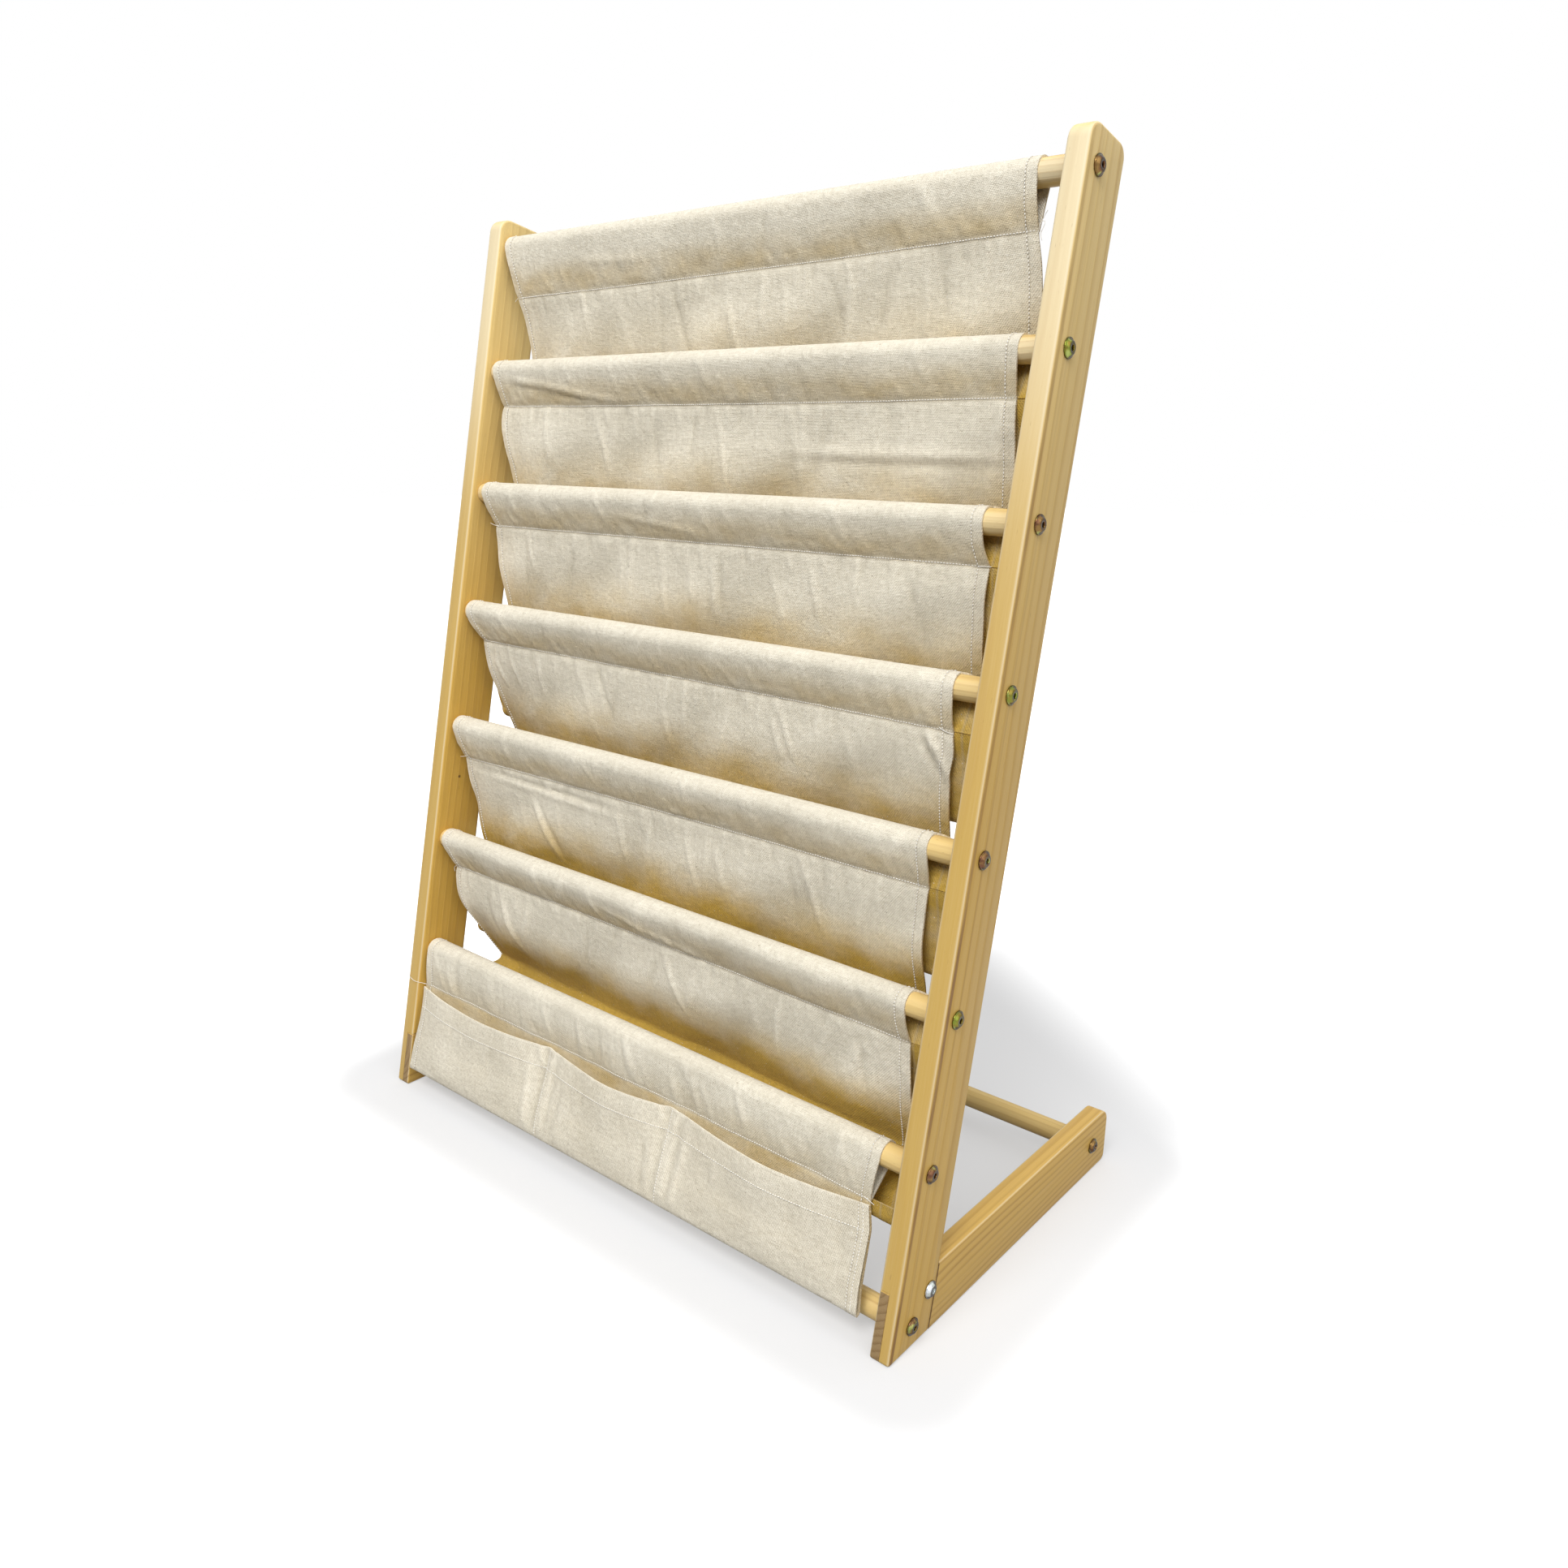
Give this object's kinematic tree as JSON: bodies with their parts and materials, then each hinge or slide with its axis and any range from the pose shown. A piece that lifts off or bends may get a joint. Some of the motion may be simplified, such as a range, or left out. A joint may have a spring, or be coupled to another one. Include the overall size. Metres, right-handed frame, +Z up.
{
  "type": "sling bookshelf",
  "caption": "Leaning pine bookshelf for a child, with canvas sling pockets hung on dowels, a bayed pouch at the foot and floor legs joined by half laps.",
  "frame": {"origin": "on the floor, under the middle of the footprint", "axes": "+Z up, +X to the right seen from the front, -Y towards the user; the pockets face -Y and the uprights lean back towards +Y"},
  "size_m": [0.6534, 0.364, 0.8754],
  "materials": {
    "pine_board": "clear satin lacquer on planed pine, straight grain along each board",
    "pine_dowel": "clear satin lacquer on turned pine",
    "canvas": "natural undyed cotton twill, matt",
    "yellow_zinc": "yellow passivated zinc on steel, glossy",
    "white_zinc": "bright zinc on steel"
  },
  "bodies": {
    "root": {"left_upright": "pine_board", "left_leg": "pine_board", "left_rod_bolt_1": "yellow_zinc", "left_rod_bolt_2": "yellow_zinc", "left_rod_bolt_3": "yellow_zinc", "left_rod_bolt_4": "yellow_zinc", "left_rod_bolt_5": "yellow_zinc", "left_rod_bolt_6": "yellow_zinc", "left_rod_bolt_7": "yellow_zinc", "left_front_rail_bolt": "yellow_zinc", "left_rear_rail_bolt": "yellow_zinc", "left_lap_bolt": "white_zinc", "left_lap_nut": "white_zinc", "right_upright": "pine_board", "right_leg": "pine_board", "right_rod_bolt_1": "yellow_zinc", "right_rod_bolt_2": "yellow_zinc", "right_rod_bolt_3": "yellow_zinc", "right_rod_bolt_4": "yellow_zinc", "right_rod_bolt_5": "yellow_zinc", "right_rod_bolt_6": "yellow_zinc", "right_rod_bolt_7": "yellow_zinc", "right_front_rail_bolt": "yellow_zinc", "right_rear_rail_bolt": "yellow_zinc", "right_lap_bolt": "white_zinc", "right_lap_nut": "white_zinc", "rod_1": "pine_dowel", "rod_2": "pine_dowel", "rod_3": "pine_dowel", "rod_4": "pine_dowel", "rod_5": "pine_dowel", "rod_6": "pine_dowel", "rod_7": "pine_dowel", "front_rail": "pine_dowel", "rear_rail": "pine_dowel", "casing_1": "canvas", "casing_2": "canvas", "casing_3": "canvas", "casing_4": "canvas", "casing_5": "canvas", "casing_6": "canvas", "casing_7": "canvas", "sling_1": "canvas", "sling_2": "canvas", "sling_3": "canvas", "sling_4": "canvas", "sling_5": "canvas", "sling_6": "canvas", "pouch_back": "canvas", "pouch_front": "canvas"}
  },
  "joints": []
}
